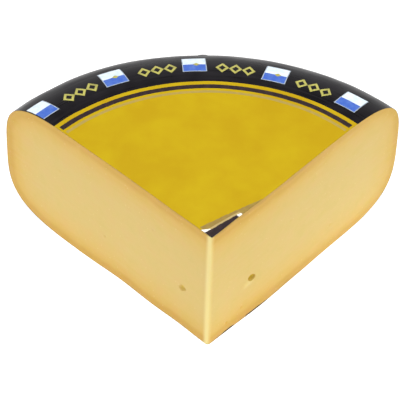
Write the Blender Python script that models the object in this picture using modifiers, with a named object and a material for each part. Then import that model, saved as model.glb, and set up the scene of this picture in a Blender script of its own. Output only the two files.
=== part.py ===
"""A quarter wheel of aged gouda: the firm paste, the thin black coat round it and the label on top.

Metres, +Z up. The origin is under the middle of the piece, on the surface that it rests on. The wheel's
axis stands at the front, and the two cut faces run back from it to the left and to the right.
"""

import math

import bmesh
import bpy
from mathutils import Matrix, Vector

# The whole wheel
WHEEL_RADIUS = 0.175
WHEEL_HEIGHT = 0.098
LEVEL_RADIUS = 0.1065  # how far out the top and the bottom are level
SIDE_FULLNESS = 3.55  # exponent of the side's superellipse: 2 is an ellipse, and more is squarer
SIDE_STEPS = 11  # from the level top out to the widest line, and as many below it
TURN_STEPS = 120

# The coat and the label
COAT_THICKNESS = 0.0004
LABEL_RADIUS = 0.131
LABEL_THICKNESS = 0.0003
GAP = 0.0003  # left between two pieces that touch in the real cheese

# The two cuts
CUT_TURN = math.radians(45)  # of each cut from the middle line
EDGE_ROUNDING = 0.0018  # of the upright edge where the cuts meet
EDGE_STEPS = 4

# The eyes that the cuts went through: which cut, distance from the edge, and height above the bottom
LEFT, RIGHT = -1, 1
EYES = {
    "left_eye": {"cut": LEFT, "along": 0.0224, "height": 0.0362, "size": (0.0046, 0.0044, 0.0050)},
    "right_eye": {"cut": RIGHT, "along": 0.0388, "height": 0.0317, "size": (0.0066, 0.0060, 0.0062)},
}
EYE_INSET = 0.1  # share of its depth that an eye's middle lies behind the cut
EYE_SEGMENTS = 16
EYE_RINGS = 10

# Worked out from the above. The axis stands where the piece reaches as far to the front as to the back.
HALF_STEP = math.pi / TURN_STEPS
EDGE_SETBACK = EDGE_ROUNDING * (math.sqrt(2) - 1)
BACK_REACH = WHEEL_RADIUS * math.cos(HALF_STEP)
AXIS_Y = -(BACK_REACH + EDGE_SETBACK) / 2
BLOCK_SIDE = 2 * WHEEL_RADIUS


def clear_scene():
    for obj in list(bpy.data.objects):
        bpy.data.objects.remove(obj)


def new_collection(name):
    collection = bpy.data.collections.new(name)
    bpy.context.scene.collection.children.link(collection)
    return collection


def linear(hex_colour):
    """The linear RGBA of an sRGB colour such as "e2c87c"."""
    shares = [int(hex_colour[i : i + 2], 16) / 255 for i in (0, 2, 4)]
    return [s / 12.92 if s <= 0.04045 else ((s + 0.055) / 1.055) ** 2.4 for s in shares] + [1.0]


def new_material(name, hex_colour, roughness):
    material = bpy.data.materials.new(name)
    material.use_nodes = True
    shader = material.node_tree.nodes["Principled BSDF"]
    shader.inputs["Base Color"].default_value = linear(hex_colour)
    shader.inputs["Roughness"].default_value = roughness
    shader.inputs["Metallic"].default_value = 0.0
    return material


def paste_material():
    """Firm, slightly oily cut cheese."""
    material = new_material("cut_gouda_paste", "e6cb80", 0.5)
    shader = material.node_tree.nodes["Principled BSDF"]
    shader.inputs["Subsurface Weight"].default_value = 0.15
    shader.inputs["Subsurface Scale"].default_value = 0.004
    return material


def coat_material():
    """Black cheese coating, brushed on wet."""
    return new_material("black_cheese_coating", "3c3c42", 0.35)


def label_material():
    """Printed yellow paper."""
    return new_material("printed_label_paper", "d8b820", 0.45)


def new_object(name, mesh, collection):
    obj = bpy.data.objects.new(name, mesh)
    collection.objects.link(obj)
    return obj


def wheel_profile(inset):
    """(radius, height) down the wheel's outer side, from the axis on top to the axis below, moved in."""
    level_height = WHEEL_HEIGHT / 2 - inset
    side_width = WHEEL_RADIUS - LEVEL_RADIUS - inset
    points = [(0.0, WHEEL_HEIGHT - inset)]
    for step in range(-SIDE_STEPS, SIDE_STEPS + 1):
        turn = -step / SIDE_STEPS * math.pi / 2
        out = max(math.cos(turn), 0.0) ** (2 / SIDE_FULLNESS)
        up = math.copysign(abs(math.sin(turn)) ** (2 / SIDE_FULLNESS), turn)
        points.append((LEVEL_RADIUS + side_width * out, WHEEL_HEIGHT / 2 + level_height * up))
    points.append((0.0, inset))
    return points


def turned_wheel(name, inset, collection):
    """The wheel's form, turned about its axis. The half step keeps the cuts off its corners."""
    profile = wheel_profile(inset)
    mesh = bpy.data.meshes.new(name)
    mesh.from_pydata([(r, 0, z) for r, z in profile], [(i, i + 1) for i in range(len(profile) - 1)], [])
    wheel = new_object(name, mesh, collection)
    wheel.location.y = AXIS_Y
    wheel.rotation_euler.z = HALF_STEP
    screw = wheel.modifiers.new("turn", "SCREW")
    screw.steps = screw.render_steps = TURN_STEPS
    screw.use_merge_vertices = True
    screw.merge_threshold = 0.00001
    return wheel


def quarter_block(cutters):
    """What is left between the two cuts, with its upright front edge rounded as the wire leaves it."""
    bm = bmesh.new()
    middle = Matrix.Translation((BLOCK_SIDE / 2, BLOCK_SIDE / 2, WHEEL_HEIGHT / 2))
    bmesh.ops.create_cube(bm, size=BLOCK_SIDE, matrix=middle)
    front = [e for e in bm.edges if all(v.co.x < GAP and v.co.y < GAP for v in e.verts)]
    bmesh.ops.bevel(bm, geom=front, offset=EDGE_ROUNDING, segments=EDGE_STEPS, profile=0.5, affect="EDGES")
    mesh = bpy.data.meshes.new("quarter_block")
    bm.to_mesh(mesh)
    bm.free()
    block = new_object("quarter_block", mesh, cutters)
    block.location.y = AXIS_Y
    block.rotation_euler.z = CUT_TURN
    return block


def eye_cutter(name, cut, along, height, size, cutters):
    """An ellipsoid with its middle just behind a cut face. Its size is along the face, into it, and up."""
    bm = bmesh.new()
    scale = Matrix.Diagonal((*size, 1.0))
    bmesh.ops.create_uvsphere(
        bm, u_segments=EYE_SEGMENTS, v_segments=EYE_RINGS, radius=0.5, matrix=scale
    )
    mesh = bpy.data.meshes.new(name)
    bm.to_mesh(mesh)
    bm.free()
    eye = new_object(name, mesh, cutters)
    turn = cut * CUT_TURN
    along_cut = Vector((math.sin(turn), math.cos(turn), 0))
    into_cheese = Vector((-math.cos(turn), math.sin(turn), 0)) * cut
    eye.location = along_cut * along + into_cheese * EYE_INSET * size[1] + Vector((0, AXIS_Y, height))
    eye.rotation_euler.z = math.pi / 2 - turn
    return eye


def add_boolean(obj, operation, cutter):
    boolean = obj.modifiers.new(cutter.name, "BOOLEAN")
    boolean.operation = operation
    boolean.solver = "EXACT"
    boolean.object = cutter


def hide_cutter(cutter):
    cutter.hide_render = True
    cutter.display_type = "WIRE"


def settle_mesh(obj, material):
    """Keeps the form that the modifiers give, gives it its material and shades its round sides smooth."""
    bpy.context.view_layer.update()
    evaluated = obj.evaluated_get(bpy.context.evaluated_depsgraph_get())
    mesh = bpy.data.meshes.new_from_object(evaluated)
    obj.modifiers.clear()
    obj.data = mesh
    mesh.name = obj.name
    mesh.materials.clear()
    mesh.materials.append(material)
    mesh.shade_smooth()
    mesh.set_sharp_from_angle(angle=math.radians(30))


def make_paste(cheese, cutters, block):
    """The cheese itself, which fills the coat and shows on both cuts with the eyes that they opened."""
    paste = turned_wheel("paste", COAT_THICKNESS + GAP, cheese)
    add_boolean(paste, "INTERSECT", block)
    for name, eye in EYES.items():
        cutter = eye_cutter(name, **eye, cutters=cutters)
        hide_cutter(cutter)
        add_boolean(paste, "DIFFERENCE", cutter)
    settle_mesh(paste, paste_material())


def make_coat(cheese, cutters, block):
    """The coat over the top, the side and the bottom, open where the cuts went through it."""
    coat = turned_wheel("coat", 0.0, cheese)
    inner_wheel = turned_wheel("inside_of_coat", COAT_THICKNESS, cutters)
    hide_cutter(inner_wheel)
    add_boolean(coat, "DIFFERENCE", inner_wheel)
    add_boolean(coat, "INTERSECT", block)
    settle_mesh(coat, coat_material())


def label_outline(cutters):
    """A round post over the upper half of the wheel, as wide as the label."""
    bm = bmesh.new()
    bmesh.ops.create_cone(
        bm,
        cap_ends=True,
        segments=TURN_STEPS,
        radius1=LABEL_RADIUS,
        radius2=LABEL_RADIUS,
        depth=WHEEL_HEIGHT,
    )
    mesh = bpy.data.meshes.new("label_outline")
    bm.to_mesh(mesh)
    bm.free()
    post = new_object("label_outline", mesh, cutters)
    post.location = (0, AXIS_Y, WHEEL_HEIGHT)
    post.rotation_euler.z = HALF_STEP
    return post


def make_label(cheese, cutters, block):
    """A quarter of the round label, which follows the coat's top."""
    label = turned_wheel("label", -GAP - LABEL_THICKNESS, cheese)
    under_label = turned_wheel("under_label", -GAP, cutters)
    outline = label_outline(cutters)
    for operation, cutter in (("DIFFERENCE", under_label), ("INTERSECT", outline), ("INTERSECT", block)):
        hide_cutter(cutter)
        add_boolean(label, operation, cutter)
    settle_mesh(label, label_material())


def main():
    clear_scene()
    cheese = new_collection("aged_gouda")
    cutters = new_collection("cutters")
    block = quarter_block(cutters)
    hide_cutter(block)
    make_paste(cheese, cutters, block)
    make_coat(cheese, cutters, block)
    make_label(cheese, cutters, block)


main()
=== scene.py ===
"""The looks of a quarter wheel of aged gouda: wire-cut paste, black brushed coat, rim print and label."""

import math

import bmesh
import bpy
import numpy as np
from mathutils import Matrix, Vector


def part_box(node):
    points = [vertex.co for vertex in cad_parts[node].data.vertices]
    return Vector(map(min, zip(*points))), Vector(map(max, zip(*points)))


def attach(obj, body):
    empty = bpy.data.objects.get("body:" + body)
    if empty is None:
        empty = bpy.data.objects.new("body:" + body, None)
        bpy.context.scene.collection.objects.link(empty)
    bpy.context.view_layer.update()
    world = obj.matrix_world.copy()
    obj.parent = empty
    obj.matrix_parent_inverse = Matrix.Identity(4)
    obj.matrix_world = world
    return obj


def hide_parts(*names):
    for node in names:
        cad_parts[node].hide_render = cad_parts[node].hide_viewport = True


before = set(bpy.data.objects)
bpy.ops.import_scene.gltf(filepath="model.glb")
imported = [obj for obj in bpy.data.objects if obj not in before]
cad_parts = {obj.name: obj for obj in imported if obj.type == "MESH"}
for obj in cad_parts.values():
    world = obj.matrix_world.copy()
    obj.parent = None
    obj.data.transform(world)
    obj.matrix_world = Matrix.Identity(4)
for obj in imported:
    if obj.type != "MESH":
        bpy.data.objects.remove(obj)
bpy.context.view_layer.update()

MM = 0.001

# The wheel, as the frame's solids have it
EDGE_ROUNDING = 1.8 * MM  # of the upright edge where the two cuts meet
CUT_TURN = math.radians(45)  # of each cut from the middle line
LEVEL_RADIUS = 106.5 * MM  # how far out the top and the bottom are level
SIDE_FULLNESS = 3.55  # exponent of the side's superellipse
COAT_LOW, COAT_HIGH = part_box("coat")
WHEEL_HEIGHT = COAT_HIGH.z
MIDDLE = WHEEL_HEIGHT / 2
WHEEL_RADIUS = COAT_HIGH.x / math.sin(CUT_TURN)
AXIS_Y = COAT_LOW.y - EDGE_ROUNDING * (math.sqrt(2) - 1)
EDGE_ARC = EDGE_ROUNDING * CUT_TURN  # from the middle of the rounded edge to the flat cut

# Sheets, and how far their upper sides stand off the coat's skin
COAT_THICKNESS = 0.12 * MM  # at the cuts
SHEET_SETBACK = 0.1 * MM  # of the sheets' cut edges behind the cuts
LABEL_TOP = 0.1 * MM
LABEL_THICKNESS = 0.12 * MM
LABEL_RADIUS = 131 * MM
INK_THICKNESS = 0.05 * MM
INK_STEP = 0.04 * MM  # between one print and the next one over it

# The brushed coat is lumpy: half the height of the lumps, their size and the seed of their noise
COAT_LUMPS = ((0.15 * MM, 19 * MM, 21), (0.05 * MM, 7 * MM, 22))
LUMPS_OFF_CUT = 12 * MM  # distance from the cuts over which they grow to their full height
LUMPS_FOOT = 4 * MM  # height below which there are none
LUMPS_RISE = 20 * MM  # height above that over which they grow

# The coat ran together thicker on the shoulder, at the left of the back
RUN_TURN = math.radians(-22)
RUN_HALF_WIDTH = math.radians(13)
RUN_RISE = 0.8 * MM
RUN_START = 157 * MM  # distance from the axis from which it rises
RUN_SLOPE = 8 * MM

# A lap of the brush on the shoulder
LAP_TURN = math.radians(0.3)
LAP_RADIUS = 166.8 * MM
LAP_WIDTH = 5.9 * MM
LAP_LENGTH = 6 * MM
LAP_RISE = 0.45 * MM
LAP_STEEPNESS = 4

# The rim's print: fields of white and blue, with three lozenges between each two
FIELD_TURNS = [math.radians(degrees) for degrees in (-42.6, -22.3, -2.15, 18.1, 38.4)]
FIELD_WIDTH = 15.2 * MM
FIELD_HEIGHT = 16.4 * MM
FIELD_BORDER = 0.55 * MM
BLUE_SHARE = 0.47
FIELD_RADIUS = 149.1 * MM  # of a field's middle
GROUP_TURNS = [math.radians(degrees) for degrees in (-31.7, -11.4, 8.0, 28.3)]
LOZENGE_RADIUS = 146.4 * MM
LOZENGE_WIDTH = 8.7 * MM
LOZENGE_HEIGHT = 10.4 * MM
LOZENGE_PITCH = math.radians(3.3)
LOZENGE_STROKE = 2.1 * MM
LEFT_SLIP, RIGHT_SLIP = 0.6 * MM, 3.4 * MM  # how much further in the print sits on either side
SLIP_TURN = math.radians(18)  # turn from the middle over which it gets there

# The small filled lozenge on a field, where its blue and its white meet
FIELD_LOZENGE_TURN = math.radians(0.5)
FIELD_LOZENGE_WIDTH = 4.6 * MM
FIELD_LOZENGE_HEIGHT = 3.4 * MM
PINHOLE = 0.02  # share of a filled lozenge that is left open at its middle, too small to see

# The label's print by the tip lies along the right cut. Its distances from that cut are given at the left
# cut, and each shrinks along it
BAR_LENGTH = 23.6 * MM
BAR_WIDTH = 5.9 * MM
BAR_TAPER = 0.16
BAR_END_LENGTH = 3 * MM  # of the white at the bar's outer end
LINE_WIDTH = 1.3 * MM
KHAKI_START = 1.2 * MM
KHAKI_REACH = 11.4 * MM
KHAKI_TAPER = 0.25
KHAKI_SHORTFALL = 2 * MM  # how far before its point the border ends
WHITE_REACH = 9.1 * MM
WHITE_LENGTH = 4.5 * MM
RAGGED_DEPTH, RAGGED_SIZE = 0.2 * MM, 1.6 * MM  # of the print's uneven sides
TIP_MARGIN = 0.15 * MM  # of the tip's print to the right cut
PRINT_MARGIN = 0.8 * MM  # of all other print to both cuts

# The rings along the label's rim: where each starts and ends
RINGS = {"khaki": (120.5 * MM, 122.5 * MM), "dark": (124.5 * MM, 128 * MM)}

# Mesh cells, and how finely the curves are worked out
PROFILE_POINTS = 6001
SKIN_POINTS = 4001
RIND_STEP = 40  # one in so many of the profile's points is measured to
RIND_BLOCK = 20000  # points measured at a time, to spare memory
CUT_CELL = 0.68 * MM
SOFT_ROWS = (0, 0.12, 0.3, 0.55, 0.9)  # in millimetres from the cuts' rims, where the paste is soft
OUTER_WALL = 9 * MM  # half the height of the plain upright strip at the paste's widest line
EDGE_COLUMNS = 6
PASTE_ARCS = 12
COAT_CELL = 2 * MM
COAT_ARCS = 200
LABEL_ROWS = 60
FIELD_CELLS = 8
LOZENGE_STEPS = 6
RING_POINTS = 4
TIP_CELL, TIP_ROWS, TIP_COLUMNS = 0.5 * MM, 4, 7  # TIP_ROWS is the fewest that a strip has
LEVEL_SLACK = 0.01 * MM  # how far off the top's or the bottom's height the skin still counts as level
SHEET_WELD, PASTE_WELD = 0.001 * MM, 0.002 * MM
SHARP_ANGLE, EYE_RIM_ANGLE = math.radians(40), math.radians(50)

# The wire didn't run straight. In millimetres: place along the cuts from their front edge (left is
# negative), half width, and how far the cut bows out at the bottom and at the top
BOWS = (
    (88, 16, 0.4, 0.2),
    (47, 31, 1.7, 0.9),
    (4, 14, 0.2, 0.5),
    (-27, 12, -0.4, 0.3),
    (-76, 20, -1.0, -0.2),
)

# The cuts' finer relief: its height and the size of its lumps
SWAY_HEIGHT, SWAY_SIZE = 0.1 * MM, 42 * MM
DENT_HEIGHT, DENT_SIZE = 0.07 * MM, 13 * MM
DRAG_HEIGHT, DRAG_SIZE = 0.05 * MM, 2.4 * MM
DRAG_STRETCH = 14  # how many times longer than high, as the wire drew them out
GRAIN_HEIGHT, GRAIN_SIZE = 0.04 * MM, 2.4 * MM
SOFT_EDGE_WIDTH = 1.1 * MM
SOFT_EDGE_DEPTH = SHEET_SETBACK * 0.9

# The foot of the right cut is torn: place along the cut, half length, size of the tears, width and depth
TORN_PLACE, TORN_REACH = 32 * MM, 34 * MM
TORN_SIZE = 5 * MM
TORN_WIDTH, TORN_DEPTH = 1.6 * MM, 1.2 * MM

# The eyes: place along the cut, height, and in millimetres how far the middle lies behind the cut and the
# size along, into and up, then by how many degrees the outer end leans down
EYES = {
    "left_eye": {
        "along": -22.4 * MM,
        "height": 35.6 * MM,
        "behind": -1.3,
        "size": (6.8, 5.2, 6.2),
        "lean": 25,
        "seed": 4,
    },
    "right_eye": {
        "along": 37.0 * MM,
        "height": 33.5 * MM,
        "behind": 0.4,
        "size": (7.1, 4.6, 5.1),
        "lean": 38,
        "seed": 9,
    },
}
EYE_SEGMENTS, EYE_RINGS = 48, 32
EYE_SWELL = 0.12  # how uneven an eye is, as a share of its size
EYE_LUMP = 0.7  # size of its lumps, with the eye as a ball of radius 1
EYE_LUMPS_AT = 3  # where in the noise the ball's middle lies
EYE_REACH = 0.6  # share of an eye's greatest size within which its wall lies
# The eyes' walls take a painted shade, deeper the further in they lie
EYE_RIM, EYE_FADE = 0.2 * MM, 1.8 * MM  # depth at which its wall starts to deepen in colour, and over which

# Small pits that the wire opened or tore, in millimetres: place along the cut, height, width, depth
PITS = (
    (15.2, 8.7, 1.8, 0.7),
    (28.2, 12.6, 1.7, 0.6),
    (71.0, 58.0, 1.5, 0.45),
    (112.0, 22.0, 1.7, 0.5),
    (58.0, 80.0, 1.4, 0.4),
    (-47.0, 68.0, 1.5, 0.45),
    (-88.0, 31.0, 1.8, 0.5),
    (-126.0, 62.0, 1.5, 0.4),
)

# A smear of paste under the right eye, from its inner to its outer end: place along the cut and height
SMEAR = ((31.8 * MM, 30.4 * MM), (34.8 * MM, 31.0 * MM))
SMEAR_WIDTH = 2.1 * MM
SMEAR_RISE = 0.45 * MM
# Paleness of the smear: a painted highlight where light falls on its raised lip
SMEAR_HIGHLIGHT = 0.45

# The painted highlight on the upright rounded edge: its middle, to the right of the wheel's axis
# and behind it, and how far it is fully pale and over which it fades
EDGE_HIGHLIGHT_AT = (-1.1 * MM, 0.6 * MM)
EDGE_HIGHLIGHT_CORE, EDGE_HIGHLIGHT_FADE = 0.8 * MM, 2.6 * MM
EDGE_HIGHLIGHT_FALL = 1.5

# Painted light: the right cut grows a little paler outwards, from a place to the right of the middle
PALER_START, PALER_REACH = 40 * MM, 60 * MM
PALER_END = 0.08
NEAR_CUT = 4 * MM  # how far sideways of the plain right cut points still count as on it, as it bows

# The rind's golden band on the right cut, in millimetres: place to the right of the middle, and how much
# less of the band shows there. The wider band near the tip is painted shade, and the narrower band at the
# outer end painted light
BAND_LIGHT_AND_SHADE = ((1, 0.0), (12, -1.5), (50, -1.5), (85, 1.5))

# The table, where its glow is brightest and where a patch of it lights the right corner. The glow is
# painted light that fills the piece's shadow, and the patch clears the shadow beside the right corner
TABLE_SIZE = 12
GLOW_AT = (-350 * MM, -150 * MM, 0)
PATCH_AT = (140 * MM, 40 * MM, 0)

# The studio's lamps, in metres and watts
SOFTBOXES = {
    "overhead_softbox": {"place": (0, -0.1, 1.7), "watts": 24, "size": 1.0, "colour": (1.0, 1.0, 1.0)},
    "key_softbox": {"place": (1.3, -1.1, 1.0), "watts": 8.5, "size": 1.2, "colour": (1.0, 0.99, 0.84)},
}

# Camera, fitted to the outline in the photograph
CAMERA_AT = Vector((-61.8 * MM, -1027.4 * MM, 1132.6 * MM))
CAMERA_TURN = math.radians(3.30)
CAMERA_ELEVATION = math.radians(46.81)
CAMERA_ROLL = math.radians(1.92)
LENS_MM = 216
SENSOR_MM = 36
CLIP_START, CLIP_END = 0.05, 20


# Helpers for meshes


def lumps(across, up, size, seed):
    """Smooth noise from -1 to 1 with lumps about size metres across."""
    cells = 256
    table = np.random.default_rng(seed).uniform(-1, 1, (cells, cells))
    column, row = np.floor(across / size).astype(int), np.floor(up / size).astype(int)
    x, y = across / size - column, up / size - row
    x, y = (t * t * t * (t * (6 * t - 15) + 10) for t in (x, y))

    def along_row(line):
        return table[column % cells, line % cells] * (1 - x) + table[(column + 1) % cells, line % cells] * x

    return along_row(row) * (1 - y) + along_row(row + 1) * y


def about_axis(radius, turn, height):
    """Points from their distance from the wheel's axis, their turn about it and their height."""
    radius, turn, height = np.broadcast_arrays(radius, turn, height)
    return np.stack([radius * np.sin(turn), AXIS_Y + radius * np.cos(turn), height], -1)


def half_height(radius, inset):
    """Height over the middle plane of the wheel's skin, or of a form that lies inset metres inside it."""
    out = np.clip((radius - LEVEL_RADIUS) / (WHEEL_RADIUS - inset - LEVEL_RADIUS), 0, 1)
    return (MIDDLE - inset) * (1 - out**SIDE_FULLNESS) ** (1 / SIDE_FULLNESS)


def side_profile(inset=0.0):
    """Radius, and height over the middle, of close points round the side from the top to the bottom."""
    turn = np.linspace(math.pi / 2, -math.pi / 2, PROFILE_POINTS)
    out = np.clip(np.cos(turn), 0, 1) ** (2 / SIDE_FULLNESS)
    up = np.sign(turn) * np.abs(np.sin(turn)) ** (2 / SIDE_FULLNESS)
    return LEVEL_RADIUS + (WHEEL_RADIUS - inset - LEVEL_RADIUS) * out, (MIDDLE - inset) * up


def arc_lengths(radius, height):
    """Distance along a profile from its first point to each of them."""
    return np.concatenate([[0], np.cumsum(np.hypot(np.diff(radius), np.diff(height)))])


def skin_table():
    """arc, radius, height and normal along the whole skin, from the axis on top to the axis below."""
    radius, height = side_profile()
    radius = np.concatenate([[0], radius, [0]])
    height = np.concatenate([[MIDDLE], height, [-MIDDLE]]) + MIDDLE
    arc = arc_lengths(radius, height)
    even = np.linspace(0, arc[-1], SKIN_POINTS)
    radius, height = np.interp(even, arc, radius), np.interp(even, arc, height)
    along = np.gradient(radius), np.gradient(height)
    length = np.hypot(*along)
    return even, radius, height, -along[1] / length, along[0] / length


SKIN_ARC, SKIN_RADIUS, SKIN_HEIGHT, SKIN_OUT, SKIN_UP = skin_table()
SKIN_LENGTH = SKIN_ARC[-1]


def arc_at_radius(radius):
    """Distance along the skin from the axis on top to a radius on the top side."""
    half = SKIN_ARC <= SKIN_LENGTH / 2
    return np.interp(radius, SKIN_RADIUS[half], SKIN_ARC[half])


def coat_wave(radius, turn, height):
    """Extra thickness of the brushed coat, with none at the cuts and low down, where the piece stands."""
    x, y = radius * np.sin(turn), radius * np.cos(turn)
    across, up = x + 0.7 * height, y - 0.5 * height  # slanted, so that the lumps run on down the side
    thick = sum(half * (1 + lumps(across, up, size, seed)) for half, size, seed in COAT_LUMPS)
    run = RUN_RISE * np.exp(-(((turn - RUN_TURN) / RUN_HALF_WIDTH) ** 2))
    thick = thick + run * np.clip((radius - RUN_START) / RUN_SLOPE, 0, 1)
    off_cut = np.clip(radius * np.sin(CUT_TURN - np.abs(turn)) / LUMPS_OFF_CUT, 0, 1)
    return thick * off_cut * np.clip((height - LUMPS_FOOT) / LUMPS_RISE, 0, 1)


def lap_relief(arc, turn):
    """The small raised lap where one pass of the brush ended on the shoulder."""
    ahead = np.abs(turn - LAP_TURN) * WHEEL_RADIUS / (LAP_WIDTH / 2)
    aside = np.abs(arc - arc_at_radius(LAP_RADIUS)) / (LAP_LENGTH / 2)
    ahead, aside = (np.clip(LAP_STEEPNESS * (1 - off), 0, 1) for off in (ahead, aside))
    return LAP_RISE * ahead * aside


def skin_point(arc, turn, lift, waved=True):
    """A point on the coat's skin or lift metres off it, from its arc and its turn about the axis."""
    arc, turn = np.broadcast_arrays(arc, turn)
    radius, height, out, up = (
        np.interp(arc, SKIN_ARC, table) for table in (SKIN_RADIUS, SKIN_HEIGHT, SKIN_OUT, SKIN_UP)
    )
    if waved:
        lift = lift + coat_wave(radius, turn, height) + lap_relief(arc, turn)
    return about_axis(radius + out * lift, turn, height + up * lift)


def rind_depth(radius, height):
    """Distance of points inside the wheel from its skin."""
    out, up = side_profile()
    out, up = out[::RIND_STEP], up[::RIND_STEP] + MIDDLE
    level = np.minimum(height, WHEEL_HEIGHT - height)
    depth = np.full(len(radius), np.inf)
    for start in range(0, len(radius), RIND_BLOCK):
        part = slice(start, start + RIND_BLOCK)
        gap = np.hypot(radius[part, None] - out, height[part, None] - up)
        depth[part] = gap.min(1)
    return np.where(radius < LEVEL_RADIUS, np.minimum(depth, level), depth)


def smear_share(along, height):
    """The smear of paste that the wire left under the right eye, from 0 to 1."""
    (start, low), (end, high) = SMEAR
    length = math.hypot(end - start, high - low)
    ahead = ((along - start) * (end - start) + (height - low) * (high - low)) / length
    aside = ((height - low) * (end - start) - (along - start) * (high - low)) / length
    beyond = np.maximum(np.abs(ahead - length / 2) - length / 2, 0)
    return np.exp(-((aside / SMEAR_WIDTH) ** 2) - (beyond / SMEAR_WIDTH) ** 2)


def pit_relief(along, height):
    """How deep the small pits are at a place on the cuts."""
    relief = np.zeros(np.broadcast(along, height).shape)
    for pit_along, pit_height, width, depth in PITS:
        reach = np.hypot(along - pit_along * MM, height - pit_height * MM)
        relief += depth * MM * np.exp(-((reach / (width / 2 * MM)) ** 4))
    return relief


def broad_relief(along, height):
    """The cut's slow sway, which the coat's cut edge shares. along is negative on the left cut."""
    sway = SWAY_HEIGHT * lumps(along, height, SWAY_SIZE, seed=1)
    for place, width, low, high in BOWS:
        rise = low + (high - low) * height / WHEEL_HEIGHT
        sway = sway + rise * MM * np.exp(-(((along - place * MM) / (width * MM)) ** 2))
    return sway


def cut_relief(along, height, depth):
    """How far the paste of a cut face stands out from its plane. depth is that under the paste's rim."""
    dents = DENT_HEIGHT * lumps(along, height, DENT_SIZE, seed=5)
    drag = DRAG_HEIGHT * lumps(along / DRAG_STRETCH, height, DRAG_SIZE, seed=2)
    grain = GRAIN_HEIGHT * lumps(along, height, GRAIN_SIZE, seed=3)
    near_foot = np.clip(1 - np.abs(along - TORN_PLACE) / TORN_REACH, 0, 1) * (height < MIDDLE)
    torn = np.clip(lumps(along, height * 0, TORN_SIZE, seed=6), 0, 1) * near_foot
    soft_edge = SOFT_EDGE_DEPTH * np.clip(1 - depth / SOFT_EDGE_WIDTH, 0, 1) ** 2
    torn_edge = TORN_DEPTH * torn * np.clip(1 - depth / TORN_WIDTH, 0, 1)
    marks = SMEAR_RISE * smear_share(along, height) - pit_relief(along, height)
    return broad_relief(along, height) + dents + drag + grain + marks - soft_edge - torn_edge


def plain_cut(along):
    """x and y from the axis of a place on the plain right cut, and its turn round the rounded edge."""
    reach = np.abs(along)
    swing = np.minimum(reach / EDGE_ROUNDING, CUT_TURN)
    straight = np.maximum(reach - EDGE_ARC, 0)
    x = EDGE_ROUNDING * np.sin(swing) + straight * math.sin(CUT_TURN)
    y = EDGE_ROUNDING * (math.sqrt(2) - np.cos(swing)) + straight * math.cos(CUT_TURN)
    return x, y, swing


def cut_point(along, relief):
    """x and y on the cuts, standing out from them by the relief. along runs from the middle of the rounded
    edge to the right."""
    x, y, swing = plain_cut(along)
    return np.sign(along) * (x + relief * np.sin(swing)), AXIS_Y + y - relief * np.cos(swing)


def along_to_radius(along):
    """Distance from the axis of a place on the plain cuts."""
    x, y, swing = plain_cut(along)
    return np.hypot(x, y)


def radius_to_along(radius):
    """Place along the plain cuts at a distance from the axis."""
    return np.maximum(radius - EDGE_ROUNDING, 0) + EDGE_ARC


def arc_to_along(arc):
    """Place along the plain cuts at a distance along the skin from the axis on top."""
    return radius_to_along(np.interp(arc, SKIN_ARC, SKIN_RADIUS))


def arc_between(left, right, steps):
    """Distance from the axis and turn about it on arcs from left to right, along a last axis of their own.
    left and right hold x and y."""
    share = np.linspace(0, 1, steps + 1)
    (start, start_turn), (end, end_turn) = (
        (np.hypot(x, y - AXIS_Y)[..., None], np.arctan2(x, y - AXIS_Y)[..., None]) for x, y in (left, right)
    )
    return start * (1 - share) + end * share, start_turn * (1 - share) + end_turn * share


def quads_of(index):
    """Quads between the neighbours of a grid of point numbers."""
    return np.stack([index[:-1, :-1], index[:-1, 1:], index[1:, 1:], index[1:, :-1]], -1).reshape(-1, 4)


def grid_faces(rows, columns, offset, flip):
    """Quads of a grid whose points are numbered row by row from offset."""
    quads = quads_of(offset + np.arange(rows * columns).reshape(rows, columns))
    return quads[:, ::-1] if flip else quads


def sheet_object(name, upper, lower, material, closed=False):
    """A thin closed sheet between two grids of points. closed joins the last row to the first."""
    rows, columns = upper.shape[:2]
    index = np.arange(rows * columns).reshape(rows, columns)
    if closed:
        index = np.concatenate([index, index[:1]])
    under = index + rows * columns
    faces = [quads_of(index), quads_of(under)[:, ::-1]]
    edges = [(index[:, -1], under[:, -1]), (under[:, 0], index[:, 0])]
    if not closed:
        edges += [(index[0], under[0]), (under[-1], index[-1])]
    faces += [quads_of(np.stack(edge)) for edge in edges]
    points = np.concatenate([upper.reshape(-1, 3), lower.reshape(-1, 3)])
    return mesh_object(name, points, np.concatenate(faces), material, SHEET_WELD)


def mesh_object(name, points, faces, material, weld):
    """A smooth-shaded mesh object from arrays of points and faces. Points nearer than weld become one."""
    mesh = bpy.data.meshes.new(name)
    mesh.from_pydata(points.tolist(), [], faces.tolist())
    bm = bmesh.new()
    bm.from_mesh(mesh)
    bmesh.ops.remove_doubles(bm, verts=bm.verts, dist=weld)
    bmesh.ops.dissolve_degenerate(bm, edges=bm.edges, dist=weld / 10)
    bmesh.ops.recalc_face_normals(bm, faces=bm.faces)
    bm.to_mesh(mesh)
    bm.free()
    mesh.shade_smooth()
    mesh.set_sharp_from_angle(angle=SHARP_ANGLE)
    obj = bpy.data.objects.new(name, mesh)
    bpy.context.scene.collection.objects.link(obj)
    mesh.materials.append(material)
    return obj


def applied(obj):
    """Puts the mesh that the modifiers give in the place of the object's own."""
    evaluated = obj.evaluated_get(bpy.context.evaluated_depsgraph_get())
    mesh = bpy.data.meshes.new_from_object(evaluated)
    obj.modifiers.clear()
    obj.data = mesh
    return mesh


# Helpers for materials


def linear(hex_colour):
    """The linear RGBA of an sRGB colour such as "e2c87c"."""
    shares = [int(hex_colour[i : i + 2], 16) / 255 for i in (0, 2, 4)]
    return [s / 12.92 if s <= 0.04045 else ((s + 0.055) / 1.055) ** 2.4 for s in shares] + [1.0]


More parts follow.
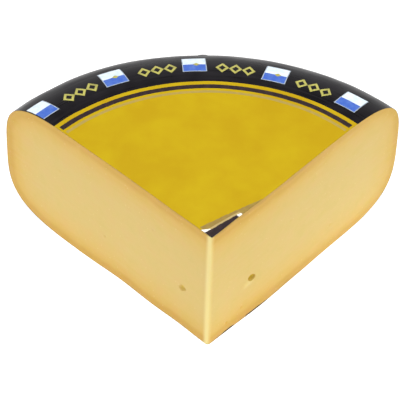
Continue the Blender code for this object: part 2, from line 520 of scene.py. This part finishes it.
def add_node(tree, kind, inputs=(), stops=(), **settings):
    """Adds a node. inputs maps sockets to values or to other nodes' outputs, and stops fill a ramp."""
    node = tree.nodes.new("ShaderNode" + kind)
    for name, value in settings.items():
        setattr(node, name, value)
    for socket, value in dict(inputs).items():
        if isinstance(value, bpy.types.NodeSocket):
            tree.links.new(value, node.inputs[socket])
        else:
            node.inputs[socket].default_value = value
    for number, (place, colour) in enumerate(stops):
        elements = node.color_ramp.elements
        element = elements[number] if number < 2 else elements.new(place)
        element.position = place
        element.color = linear(colour) if isinstance(colour, str) else (colour,) * 3 + (1,)
    return node


# The colour sockets of a Mix node, which share their names with others
MIX_SHARE, MIX_A, MIX_B, MIX_OUT = 0, 6, 7, 2


def new_material(name, **constants):
    """A material with its Principled shader, whose plain sockets get constants."""
    material = bpy.data.materials.new(name)
    material.use_nodes = True
    tree = material.node_tree
    shader = tree.nodes["Principled BSDF"]
    for socket, value in constants.items():
        shader.inputs[socket.replace("_", " ")].default_value = value
    return material, tree, shader


# Materials


def ripened_colour(tree, place):
    """The paste's colour by its depth under the rind, with a golden band uneven by a millimetre or two."""
    depth = add_node(tree, "Attribute", attribute_name="rind_depth").outputs["Fac"]
    ripening = add_node(tree, "TexNoise", {"Vector": place, "Scale": 1 / (14 * MM), "Detail": 3.0})
    uneven = add_node(tree, "Math", {0: ripening.outputs["Fac"], 1: -0.5}, operation="ADD")
    shift = add_node(tree, "Math", {0: uneven.outputs[0], 1: 5 * MM}, operation="MULTIPLY")
    shifted = add_node(tree, "Math", {0: depth, 1: shift.outputs[0]}, operation="ADD")
    share = add_node(tree, "Math", {0: shifted.outputs[0], 1: 1 / (30 * MM)}, operation="MULTIPLY")
    rind = add_node(
        tree,
        "ValToRGB",
        {0: share.outputs[0]},
        stops=(
            (0.0, "b88a31"),
            (1.0, "d0b469"),
            (0.05, "c79830"),
            (0.14, "c69628"),
            (0.27, "d0a746"),
            (0.5, "d2b05c"),
        ),
    )
    return rind.outputs[0]


def mottled_colour(tree, place, patches, plain):
    """The plain colour with warmer and greener patches a few millimetres across, and with crystals, which
    show as pale specks under a millimetre across."""
    tints = add_node(
        tree, "ValToRGB", {0: patches}, stops=((0.3, "d3a75c"), (0.7, "c8b562"), (0.5, "d0b464"))
    )
    mottled = add_node(
        tree, "Mix", {MIX_SHARE: 0.22, MIX_A: plain, MIX_B: tints.outputs[0]}, data_type="RGBA"
    )
    specks = add_node(tree, "TexVoronoi", {"Vector": place, "Scale": 1 / (4.5 * MM)})
    crystals = add_node(
        tree, "ValToRGB", {0: specks.outputs["Distance"]}, stops=((0.04, 0.4), (0.1, 0.0))
    )
    speckled = add_node(
        tree,
        "Mix",
        {MIX_SHARE: crystals.outputs[0], MIX_A: mottled.outputs[MIX_OUT], MIX_B: linear("ecd9a0")},
        data_type="RGBA",
    )
    return speckled.outputs[MIX_OUT]


def painted_light_colour(tree, plain):
    """The plain colour with painted light and shade: paler with painted highlights on the upright edge and
    the smear and painted light outwards on the right cut, and deeper inside the eyes as painted shade."""
    painted_light = add_node(tree, "Attribute", attribute_name="painted_light").outputs["Fac"]
    # Painted light: paler where the light falls on the upright edge, the smear and the right cut's outer
    # end
    pale = add_node(
        tree, "Mix", {MIX_SHARE: painted_light, MIX_A: plain, MIX_B: linear("e1cf89")}, data_type="RGBA"
    )
    # Painted shade: a deeper colour on the eyes' walls, more so the deeper they lie
    hollow = add_node(tree, "Attribute", attribute_name="eye_shade").outputs["Fac"]
    eye_shaded = add_node(
        tree,
        "Mix",
        {MIX_SHARE: hollow, MIX_A: pale.outputs[MIX_OUT], MIX_B: linear("d0af30")},
        data_type="RGBA",
    )
    return eye_shaded.outputs[MIX_OUT]


def wire_cut_paste():
    """Aged gouda cut with a wire: firm, a little oily and faintly see-through, so the eye gets a soft
    pale yellow with a waxy sheen, golden and drier towards the rind, with fine white crystals."""
    material, tree, shader = new_material(
        "wire_cut_gouda_paste",
        IOR=1.45,
        Specular_IOR_Level=0.3,
        Subsurface_Weight=0.25,
        Subsurface_Scale=2.5 * MM,
        Subsurface_Radius=(1.0, 0.6, 0.25),
    )
    place = add_node(tree, "TexCoord").outputs["Object"]
    patches = add_node(tree, "TexNoise", {"Vector": place, "Scale": 1 / (9 * MM), "Detail": 4.0})
    mottled = mottled_colour(tree, place, patches.outputs["Fac"], ripened_colour(tree, place))
    tree.links.new(painted_light_colour(tree, mottled), shader.inputs["Base Color"])

    sheen = add_node(
        tree, "ValToRGB", {0: patches.outputs["Fac"]}, stops=((0.3, 0.42), (0.7, 0.56))
    )
    tree.links.new(sheen.outputs[0], shader.inputs["Roughness"])
    crumb = add_node(tree, "TexNoise", {"Vector": place, "Scale": 1 / (0.9 * MM), "Detail": 5.0})
    relief = add_node(
        tree, "Bump", {"Strength": 0.25, "Distance": 0.12 * MM, "Height": crumb.outputs["Fac"]}
    )
    tree.links.new(relief.outputs[0], shader.inputs["Normal"])
    return material


def polar_place(tree):
    """Distance from the wheel's axis, turn about it and height, as three sockets."""
    place = add_node(tree, "TexCoord").outputs["Object"]
    apart = add_node(tree, "SeparateXYZ", {0: place})
    back = add_node(tree, "Math", {0: apart.outputs["Y"], 1: AXIS_Y}, operation="SUBTRACT")
    plan = add_node(tree, "CombineXYZ", {0: apart.outputs["X"], 1: back.outputs[0]})
    radius = add_node(tree, "VectorMath", {0: plan.outputs[0]}, operation="LENGTH")
    turn = add_node(tree, "Math", {0: apart.outputs["X"], 1: back.outputs[0]}, operation="ARCTAN2")
    return radius.outputs["Value"], turn.outputs[0], apart.outputs["Z"]


def brushed_coating():
    """Black plastic cheese coating, brushed on round the wheel in thin wet coats: a satin, slightly
    streaked black that turns grey where it mirrors the light on the shoulder."""
    material, tree, shader = new_material("black_brushed_coating", IOR=1.5, Specular_IOR_Level=0.25)
    streak_width, streak_length = 1.6 * MM, 55 * MM
    radius, turn, height = polar_place(tree)
    sideways = add_node(tree, "Math", {0: turn, 1: WHEEL_RADIUS / streak_length}, operation="MULTIPLY")
    across = add_node(tree, "Math", {0: radius, 1: 1 / streak_width}, operation="MULTIPLY")
    down = add_node(tree, "Math", {0: height, 1: 1 / streak_width}, operation="MULTIPLY")
    stroke = add_node(
        tree, "CombineXYZ", {0: across.outputs[0], 1: sideways.outputs[0], 2: down.outputs[0]}
    )
    strokes = add_node(tree, "TexNoise", {"Vector": stroke.outputs[0], "Scale": 1.0, "Detail": 3.0})
    place = add_node(tree, "TexCoord").outputs["Object"]
    cloudy = add_node(tree, "TexNoise", {"Vector": place, "Scale": 1 / (18 * MM), "Detail": 4.0})
    both = add_node(
        tree,
        "Math",
        {0: strokes.outputs["Fac"], 1: cloudy.outputs["Fac"]},
        operation="MULTIPLY",
    )
    black = add_node(
        tree, "ValToRGB", {0: both.outputs[0]}, stops=((0.1, "0f0d10"), (0.45, "211e23"))
    )
    tree.links.new(black.outputs[0], shader.inputs["Base Color"])
    satin = add_node(tree, "ValToRGB", {0: both.outputs[0]}, stops=((0.1, 0.24), (0.45, 0.46)))
    tree.links.new(satin.outputs[0], shader.inputs["Roughness"])
    ridges = add_node(
        tree, "Bump", {"Strength": 0.35, "Distance": 0.12 * MM, "Height": strokes.outputs["Fac"]}
    )
    tree.links.new(ridges.outputs[0], shader.inputs["Normal"])
    return material


def printed_ink(name, plain, worn, roughness):
    """Ink printed on the coat or on paper: an even colour, a little thin in places."""
    material, tree, shader = new_material(name, IOR=1.48, Roughness=roughness)
    place = add_node(tree, "TexCoord").outputs["Object"]
    thin = add_node(tree, "TexNoise", {"Vector": place, "Scale": 1 / (3.5 * MM), "Detail": 4.0})
    colour = add_node(tree, "ValToRGB", {0: thin.outputs["Fac"]}, stops=((0.42, plain), (0.75, worn)))
    tree.links.new(colour.outputs[0], shader.inputs["Base Color"])
    return material


def label_paper():
    """Coated paper printed in even colour: a smooth strong yellow with a soft sheen."""
    material, tree, shader = new_material(
        "printed_label_paper", IOR=1.5, Roughness=0.45, Specular_IOR_Level=0.15
    )
    place = add_node(tree, "TexCoord").outputs["Object"]
    uneven = add_node(tree, "TexNoise", {"Vector": place, "Scale": 1 / (22 * MM), "Detail": 4.0})
    yellow = add_node(
        tree, "ValToRGB", {0: uneven.outputs["Fac"]}, stops=((0.35, "b7960d"), (0.65, "bda010"))
    )
    tree.links.new(yellow.outputs[0], shader.inputs["Base Color"])
    return material


def opal_glass():
    """Opal glass, rolled flat and glowing as if lit from below: a soft even white on which the piece throws
    no shadow, as the glow is painted light that fills it. It glows most before the left cut, and a little
    more beside the right corner than round it, to clear the shadow there."""
    material, tree, shader = new_material(
        "opal_glass_table", Roughness=0.9, Emission_Strength=1.02, Specular_IOR_Level=0.0
    )
    shader.inputs["Base Color"].default_value = linear("c8c8c8")
    place = add_node(tree, "TexCoord").outputs["Object"]
    reach = add_node(tree, "VectorMath", {0: place, 1: GLOW_AT}, operation="DISTANCE")
    glow = add_node(
        tree, "ValToRGB", {0: reach.outputs["Value"]}, stops=((0.25, 1.0), (0.65, 0.33))
    )
    near = add_node(tree, "VectorMath", {0: place, 1: PATCH_AT}, operation="DISTANCE")
    # Painted light: a patch of glow that clears the piece's shadow beside the right corner
    patch = add_node(tree, "ValToRGB", {0: near.outputs["Value"]}, stops=((0.04, 0.28), (0.12, 0.0)))
    both = add_node(tree, "Math", {0: glow.outputs[0], 1: patch.outputs[0]}, operation="ADD")
    tree.links.new(both.outputs[0], shader.inputs["Emission Color"])
    return material


# Pieces


def cut_columns():
    """Places along a cut, from the middle of the rounded edge to the wheel's side."""
    edge = np.linspace(0, EDGE_ARC, EDGE_COLUMNS + 1)
    level = np.arange(EDGE_ROUNDING + CUT_CELL, LEVEL_RADIUS, CUT_CELL)
    radius, height = side_profile(COAT_THICKNESS)
    top = slice(0, PROFILE_POINTS // 2)
    arc = arc_lengths(radius[top], height[top])
    side = np.interp(np.arange(0, arc[-1] - OUTER_WALL, CUT_CELL), arc, radius[top])
    return np.concatenate([edge, radius_to_along(np.concatenate([level, side]))])


def cut_rows():
    """Heights from the middle, from -1 to 1, closer together at the soft edges."""
    soft = np.array(SOFT_ROWS) * MM
    plain = np.arange(soft[-1] + CUT_CELL, MIDDLE, CUT_CELL)
    lower = np.concatenate([soft, plain]) / MIDDLE - 1
    return np.concatenate([lower, -lower[::-1]])


def arc_grid(left, right, height):
    """Points on arcs about the axis from the left cut to the right one, each arc at its own height."""
    radius, turn = arc_between(left, right, PASTE_ARCS)
    return about_axis(radius, turn, height[:, None])


def make_paste():
    """The cheese, closed all round, with its two cut faces in relief and its eyes cut open."""
    columns = cut_columns()
    along = np.concatenate([-columns[:0:-1], columns])
    radius = along_to_radius(along)
    height = MIDDLE + cut_rows()[:, None] * half_height(radius, COAT_THICKNESS)
    along, radius = (np.broadcast_to(values, height.shape) for values in (along, radius))
    depth = rind_depth(radius.ravel(), height.ravel()).reshape(height.shape) - COAT_THICKNESS
    x, y = cut_point(along, cut_relief(along, height, depth))
    grids = [(np.stack([x, y, height], -1), False)]

    # The bottom and the top, then the round side behind
    middle = len(columns) - 1
    for row, flip in ((0, True), (-1, False)):
        left = x[row, middle::-1], y[row, middle::-1]
        right = x[row, middle:], y[row, middle:]
        grids.append((arc_grid(left, right, height[row, middle:]), flip))
    grids.append((arc_grid((x[:, 0], y[:, 0]), (x[:, -1], y[:, -1]), height[:, -1]), True))

    points, faces, count = [], [], 0
    for grid, flip in grids:
        points.append(grid.reshape(-1, 3))
        faces.append(grid_faces(*grid.shape[:2], count, flip))
        count += len(points[-1])
    points, faces = np.concatenate(points), np.concatenate(faces)
    paste = mesh_object("gouda_paste", points, faces, wire_cut_paste(), PASTE_WELD)
    open_eyes(paste)
    store_ripeness_and_light(paste.data)
    return paste


def eye_place(along, height, behind):
    """The middle of an eye, and the way into the cheese."""
    side = math.copysign(1, along)
    turn = side * CUT_TURN
    inwards = Vector((-math.cos(turn), math.sin(turn), 0)) * side
    on_cut = Vector((math.sin(turn), math.cos(turn), 0)) * abs(along) + Vector((0, AXIS_Y, height))
    return on_cut + inwards * (behind * MM - broad_relief(along, height)), inwards


def make_eye(name, along, height, behind, size, lean, seed):
    """An uneven gas bubble, cut open by the wire."""
    bm = bmesh.new()
    bmesh.ops.create_uvsphere(bm, u_segments=EYE_SEGMENTS, v_segments=EYE_RINGS, radius=0.5)
    for vert in bm.verts:
        turn, tilt = math.atan2(vert.co.y, vert.co.x), math.asin(np.clip(2 * vert.co.z, -1, 1))
        across = np.array([math.cos(turn) * math.cos(tilt) + EYE_LUMPS_AT])
        swell = lumps(across, np.array([tilt + EYE_LUMPS_AT]), EYE_LUMP, seed)[0]
        vert.co = Vector(c * s * MM for c, s in zip(vert.co, size)) * (1 + EYE_SWELL * swell)
    mesh = bpy.data.meshes.new(name)
    bm.to_mesh(mesh)
    bm.free()
    eye = bpy.data.objects.new(name, mesh)
    bpy.context.scene.collection.objects.link(eye)
    eye.location = eye_place(along, height, behind)[0]
    eye.rotation_euler = (0, math.radians(lean), math.pi / 2 - math.copysign(CUT_TURN, along))
    return eye


def open_eyes(paste):
    """Cuts the gas bubbles out of the cheese."""
    for name, eye in EYES.items():
        cutter = make_eye(name, **eye)
        boolean = paste.modifiers.new(name, "BOOLEAN")
        boolean.operation = "DIFFERENCE"
        boolean.solver = "MANIFOLD"
        boolean.object = cutter
    mesh = applied(paste)
    for name in EYES:
        bpy.data.objects.remove(bpy.data.objects[name])
    mesh.set_sharp_from_angle(angle=EYE_RIM_ANGLE)


def painted_light_share(place):
    """Painted light: highlights on the upright edge and the smear, and paler outwards on the right cut."""
    x, y, height = place.T
    off_edge = np.hypot(x - EDGE_HIGHLIGHT_AT[0], y - AXIS_Y - EDGE_HIGHLIGHT_AT[1])
    edge_highlight = np.clip(1 - (off_edge - EDGE_HIGHLIGHT_CORE) / EDGE_HIGHLIGHT_FADE, 0, 1) ** EDGE_HIGHLIGHT_FALL
    outwards = PALER_END * np.clip((x - PALER_START) / PALER_REACH, 0, 1)
    smear_highlight = SMEAR_HIGHLIGHT * smear_share(np.hypot(x, y - AXIS_Y), height)
    on_right_cut = np.abs(x - y + AXIS_Y) < NEAR_CUT
    return np.maximum(edge_highlight, np.maximum(outwards, smear_highlight) * on_right_cut)


def eye_shade(place):
    """How much painted shade points get inside an eye, by their depth there, from 0 to 1."""
    shade = np.zeros(len(place))
    for eye in EYES.values():
        middle, inwards = eye_place(eye["along"], eye["height"], eye["behind"])
        off_middle = place - np.array(middle)
        depth = off_middle @ np.array(inwards) + eye["behind"] * MM
        inside = np.linalg.norm(off_middle, axis=1) < EYE_REACH * max(eye["size"]) * MM
        shade = np.where(inside, np.clip((depth - EYE_RIM) / EYE_FADE, 0, 1), shade)
    return shade


def store_ripeness_and_light(mesh):
    """Stores each point's depth under the rind, its painted light, and its painted shade inside an eye."""
    place = np.empty(len(mesh.vertices) * 3, np.float32)
    mesh.vertices.foreach_get("co", place)
    place = place.reshape(-1, 3).astype(float)
    depth = rind_depth(np.hypot(place[:, 0], place[:, 1] - AXIS_Y), place[:, 2]) - COAT_THICKNESS
    # The band's shifts on the right cut: painted shade near the tip, painted light at the outer end
    places, shifts = np.array(BAND_LIGHT_AND_SHADE).T * MM
    depth += np.interp(place[:, 0], places, shifts)
    stored = {"rind_depth": depth, "painted_light": painted_light_share(place), "eye_shade": eye_shade(place)}
    for name, values in stored.items():
        attribute = mesh.attributes.new(name, "FLOAT", "POINT")
        attribute.data.foreach_set("value", values.astype(np.float32))


def skin_sheet(name, arc, along, upper_lift, lower_lift, material, lower_waved=True):
    """A closed sheet on the wheel's skin from cut to cut. Each row has its arc and its place along the
    cuts. Where the skin is level, the row bends with the bowed cuts."""
    height = np.interp(arc, SKIN_ARC, SKIN_HEIGHT)
    ends = [cut_point(side, broad_relief(side, height) - SHEET_SETBACK) for side in (-along, along)]
    radius, turn = arc_between(*ends, COAT_ARCS)
    level = np.minimum(height, WHEEL_HEIGHT - height) < LEVEL_SLACK
    shift = (radius - np.interp(arc, SKIN_ARC, SKIN_RADIUS)[:, None]) * level[:, None]
    out = np.stack([np.sin(turn), np.cos(turn), np.zeros_like(turn)], -1) * shift[..., None]
    upper = skin_point(arc[:, None], turn, upper_lift) + out
    lower = skin_point(arc[:, None], turn, lower_lift, lower_waved) + out
    return sheet_object(name, upper, lower, material)


def edge_places():
    """Places along the cuts round the upright edge, short of where the flat cuts start."""
    return np.linspace(0, EDGE_ARC, EDGE_COLUMNS + 1)[:-1]


def make_coat():
    """The coat over the top, the side and the bottom."""
    edge = edge_places()
    edge_radius = along_to_radius(edge)
    arcs = np.arange(EDGE_ROUNDING, SKIN_LENGTH - EDGE_ROUNDING, COAT_CELL)
    arc = np.concatenate([edge_radius, arcs, SKIN_LENGTH - edge_radius[::-1]])
    along = np.concatenate([edge, arc_to_along(arcs), edge[::-1]])
    return skin_sheet("black_coat", arc, along, 0.0, -COAT_THICKNESS, brushed_coating(), lower_waved=False)


def make_label():
    """The quarter of the round paper label, from the tip out to its rim."""
    edge = edge_places()
    arcs = np.linspace(EDGE_ROUNDING, arc_at_radius(LABEL_RADIUS), LABEL_ROWS)
    arc = np.concatenate([along_to_radius(edge), arcs])
    along = np.concatenate([edge, arc_to_along(arcs)])
    return skin_sheet("round_label", arc, along, LABEL_TOP, LABEL_TOP - LABEL_THICKNESS, label_paper())


def skin_slab(name, arc, turn, lift, material, closed=False):
    """A thin closed slab of ink on the skin, from grids of arcs and turns."""
    upper, lower = skin_point(arc, turn, lift), skin_point(arc, turn, lift - INK_THICKNESS)
    return sheet_object(name, upper, lower, material, closed)


def quad_grid(corners, rows, columns):
    """A grid over four corners (arc, sideways), given in order round them."""
    low_left, low_right, high_right, high_left = (np.array(corner) for corner in corners)
    up = np.linspace(0, 1, rows + 1)[:, None, None]
    across = np.linspace(0, 1, columns + 1)[None, :, None]
    low = low_left * (1 - across) + low_right * across
    high = high_left * (1 - across) + high_right * across
    return low * (1 - up) + high * up


def print_arc(radius, turn):
    """Arc of the rim's print, which sits a little further in away from its middle field."""
    share = np.clip(turn / SLIP_TURN, -1, 1)
    return arc_at_radius(radius) - np.where(share > 0, RIGHT_SLIP, -LEFT_SLIP) * share


def clip_to_cuts(turn):
    """Keeps print off the two cuts."""
    limit = CUT_TURN - PRINT_MARGIN / LABEL_RADIUS
    return np.clip(turn, -limit, limit)


def make_field(number, turn, inks):
    """One printed field: a pale border, blue on its inner part and white on its outer part."""
    middle = print_arc(FIELD_RADIUS, turn)
    side, top = FIELD_WIDTH / 2, FIELD_HEIGHT / 2
    split = -top + BLUE_SHARE * FIELD_HEIGHT
    inner = side - FIELD_BORDER
    boxes = {
        "border": (-side, -top, side, top),
        "blue": (-inner, -top + FIELD_BORDER, inner, split),
        "white": (-inner, split, inner, top - FIELD_BORDER / 2),
    }
    pieces = []
    for ink, (left, low, right, high) in boxes.items():
        corners = (low, left), (low, right), (high, right), (high, left)
        grid = quad_grid(corners, FIELD_CELLS, FIELD_CELLS)
        lift = INK_STEP if ink == "border" else 2 * INK_STEP
        arc = middle + grid[..., 0]
        turns = clip_to_cuts(turn + grid[..., 1] / np.interp(arc, SKIN_ARC, SKIN_RADIUS))
        pieces.append(skin_slab(f"field_{number}_{ink}", arc, turns, lift, inks[ink]))
    return pieces


def make_lozenge(name, arc, turn, width, height, stroke, lift, ink):
    """A lozenge on the skin. With a stroke it is hollow."""
    corners = np.array([(-height / 2, 0), (0, width / 2), (height / 2, 0), (0, -width / 2)])
    share = np.arange(LOZENGE_STEPS)[:, None] / LOZENGE_STEPS
    sides = [start * (1 - share) + end * share for start, end in zip(corners, np.roll(corners, -1, 0))]
    outer = np.concatenate(sides)
    hollow = 1 - stroke / (width / 2) if stroke else PINHOLE
    grid = np.stack([outer * hollow, outer], 1)
    turns = turn + grid[..., 1] / FIELD_RADIUS
    return skin_slab(name, arc + grid[..., 0], turns, lift, ink, closed=True)


def make_rim_print():
    """The print round the rim: the fields, a small lozenge on the inner ones, and three hollow lozenges
    between each two."""
    inks = {
        "border": printed_ink("pale_grey_ink", "b9c6d3", "9aa5b0", 0.4),
        "blue": printed_ink("blue_ink", "3f66c4", "5a7ccb", 0.38),
        "white": printed_ink("white_ink", "e9f4fb", "cfe2f2", 0.4),
        "yellow": printed_ink("yellow_ink", "bdb75e", "9c9650", 0.4),
    }
    pieces = []
    for number, turn in enumerate(FIELD_TURNS):
        pieces += make_field(number, turn, inks)
    for number, turn in enumerate(FIELD_TURNS[1:-1]):
        split = print_arc(FIELD_RADIUS, turn) + (BLUE_SHARE - 0.5) * FIELD_HEIGHT
        name = f"field_lozenge_{number}"
        turn = turn + FIELD_LOZENGE_TURN
        size = FIELD_LOZENGE_WIDTH, FIELD_LOZENGE_HEIGHT, 0
        pieces.append(make_lozenge(name, split, turn, *size, 3 * INK_STEP, inks["yellow"]))
    for number, middle in enumerate(GROUP_TURNS):
        for place in (-1, 0, 1):
            turn = middle + place * LOZENGE_PITCH
            name = f"rim_lozenge_{number}_{place + 1}"
            size = LOZENGE_WIDTH, LOZENGE_HEIGHT, LOZENGE_STROKE
            arc = print_arc(LOZENGE_RADIUS, turn)
            pieces.append(make_lozenge(name, arc, turn, *size, INK_STEP, inks["yellow"]))
    return pieces


def tip_strip(name, start, end, near, far, level, ink):
    """A strip of print on the level label by the tip. start and end are distances along the right cut, and
    near and far give the strip's two sides as distances from it."""
    along = np.linspace(start, end, max(int((end - start) / TIP_CELL), TIP_ROWS))[:, None]
    share = np.linspace(0, 1, TIP_COLUMNS)
    near, far = np.maximum(near(along), TIP_MARGIN), np.maximum(far(along), TIP_MARGIN)
    along, off = np.broadcast_arrays(along, near * (1 - share) + far * share)
    from_left = along - broad_relief(-off, WHEEL_HEIGHT)
    from_right = off - broad_relief(along, WHEEL_HEIGHT)
    arc, turn = np.hypot(from_left, from_right), CUT_TURN - np.arctan2(from_right, from_left)
    return skin_slab(name, arc, turn, LABEL_TOP + level * INK_STEP, ink)


def make_tip_print():
    """The print by the label's middle: a dark bar with a pale line and a khaki border, and white by it."""
    dark = printed_ink("dark_aubergine_ink", "271a1d", "3a2a2c", 0.4)
    cream = printed_ink("cream_ink", "b9a26c", "a8935a", 0.42)
    khaki = printed_ink("khaki_ink", "93793a", "a38a3c", 0.42)
    white = printed_ink("white_label_ink", "fffaf0", "f4ecdc", 0.4)

    def ragged(along, seed):
        return RAGGED_DEPTH * lumps(along, along * 0, RAGGED_SIZE, seed)

    def cut_line(along):
        return along * 0

    def bar_side(along):
        return BAR_WIDTH - BAR_TAPER * along + ragged(along, seed=31)

    def line_side(along):
        return BAR_WIDTH + LINE_WIDTH - BAR_TAPER * along + ragged(along, seed=32) / 2

    def khaki_side(along):
        return KHAKI_REACH - KHAKI_TAPER * along + ragged(along, seed=33)

    def white_side(along):
        return WHITE_REACH - (WHITE_REACH - BAR_WIDTH) * along / WHITE_LENGTH

    khaki_end = KHAKI_REACH / KHAKI_TAPER - KHAKI_SHORTFALL
    line_end = BAR_LENGTH + BAR_END_LENGTH
    strips = {
        "tip_khaki_border": (KHAKI_START, khaki_end, cut_line, khaki_side, 1, khaki),
        "tip_pale_line": (TIP_MARGIN, line_end, cut_line, line_side, 2, cream),
        "tip_white_patch": (TIP_MARGIN, WHITE_LENGTH, cut_line, white_side, 3, white),
        "tip_white_end": (BAR_LENGTH, line_end, cut_line, bar_side, 3, white),
        "tip_dark_bar": (TIP_MARGIN, BAR_LENGTH, cut_line, bar_side, 4, dark),
    }
    return [tip_strip(name, *strip) for name, strip in strips.items()]


def make_label_rings():
    """The rings printed along the label's rim, khaki inside and dark outside."""
    inks = {
        "khaki": printed_ink("khaki_ring_ink", "a8924a", "b89a40", 0.42),
        "dark": printed_ink("dark_ring_ink", "271a1d", "3a2a2c", 0.4),
    }
    rings = []
    for ink, (start, end) in RINGS.items():
        arc = np.linspace(arc_at_radius(start), arc_at_radius(end), RING_POINTS)[None, :]
        limit = CUT_TURN - PRINT_MARGIN / start * 2
        turn = np.linspace(-limit, limit, COAT_ARCS)[:, None]
        rings.append(skin_slab(f"label_ring_{ink}", arc, turn, LABEL_TOP + INK_STEP, inks[ink]))
    return rings


# Table, studio and camera


def set_table():
    """The white table that the piece stands on."""
    bpy.ops.mesh.primitive_plane_add(size=TABLE_SIZE)
    floor = bpy.context.object
    floor.name = "floor"
    floor.data.materials.append(opal_glass())


def soft_studio():
    """A studio that is bright in front and dim behind, so that the coat stays black, with a pale backdrop
    low behind that its shoulder mirrors."""
    world = bpy.data.worlds.new("soft_studio")
    world.use_nodes = True
    tree = world.node_tree
    way = add_node(tree, "TexCoord").outputs["Generated"]
    apart = add_node(tree, "SeparateXYZ", {0: way})
    share = add_node(tree, "Math", {0: apart.outputs["Y"], 1: 0.5, 2: 0.5}, operation="MULTIPLY_ADD")
    glow = add_node(
        tree, "ValToRGB", {0: share.outputs[0]}, stops=((0.5, 0.6), (0.72, 0.05), (0.62, 0.2))
    )
    behind = add_node(tree, "Math", {0: apart.outputs["Y"], 1: 1.5}, operation="MULTIPLY", use_clamp=True)
    backdrop = add_node(
        tree, "ValToRGB", {0: apart.outputs["Z"]}, stops=((0.0, 0.6), (0.6, 0.0), (0.3, 0.5))
    )
    total = add_node(
        tree,
        "Math",
        {0: backdrop.outputs[0], 1: behind.outputs[0], 2: glow.outputs[0]},
        operation="MULTIPLY_ADD",
    )
    background = tree.nodes["Background"]
    background.inputs["Color"].default_value = (1, 1, 1, 1)
    tree.links.new(total.outputs[0], background.inputs["Strength"])
    bpy.context.scene.world = world


def hang_softboxes():
    """The two lamps, turned to the middle of the piece."""
    for name, box in SOFTBOXES.items():
        light = bpy.data.lights.new(name, "AREA")
        light.energy = box["watts"]
        light.color = box["colour"]
        light.size = box["size"]
        lamp = bpy.data.objects.new(name, light)
        lamp.location = box["place"]
        way = Vector((0, 0, MIDDLE)) - Vector(box["place"])
        lamp.rotation_euler = way.to_track_quat("-Z", "Y").to_euler()
        bpy.context.scene.collection.objects.link(lamp)


def photo_camera():
    """The camera of the photograph: its place, its direction and its slight roll."""
    forward = Vector(
        (
            math.sin(CAMERA_TURN) * math.cos(CAMERA_ELEVATION),
            math.cos(CAMERA_TURN) * math.cos(CAMERA_ELEVATION),
            -math.sin(CAMERA_ELEVATION),
        )
    )
    right = Vector((math.cos(CAMERA_TURN), -math.sin(CAMERA_TURN), 0))
    up = right.cross(forward)
    rolled_right = right * math.cos(CAMERA_ROLL) + up * math.sin(CAMERA_ROLL)
    rolled_up = up * math.cos(CAMERA_ROLL) - right * math.sin(CAMERA_ROLL)
    data = bpy.data.cameras.new("camera")
    data.lens = LENS_MM
    data.sensor_width = SENSOR_MM
    data.clip_start = CLIP_START
    data.clip_end = CLIP_END
    camera = bpy.data.objects.new("camera", data)
    turned = Matrix((rolled_right, rolled_up, -forward)).transposed().to_4x4()
    camera.matrix_world = Matrix.Translation(CAMERA_AT) @ turned
    bpy.context.scene.collection.objects.link(camera)
    bpy.context.scene.camera = camera


photo_camera()
set_table()
soft_studio()
hang_softboxes()
bpy.context.scene.view_settings.view_transform = "Standard"

paste = make_paste()
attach(paste, "root")
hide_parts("paste")

coat = make_coat()
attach(coat, "root")
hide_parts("coat")

label = make_label()
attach(label, "root")
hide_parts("label")

for piece in make_rim_print() + make_label_rings() + make_tip_print():
    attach(piece, "root")
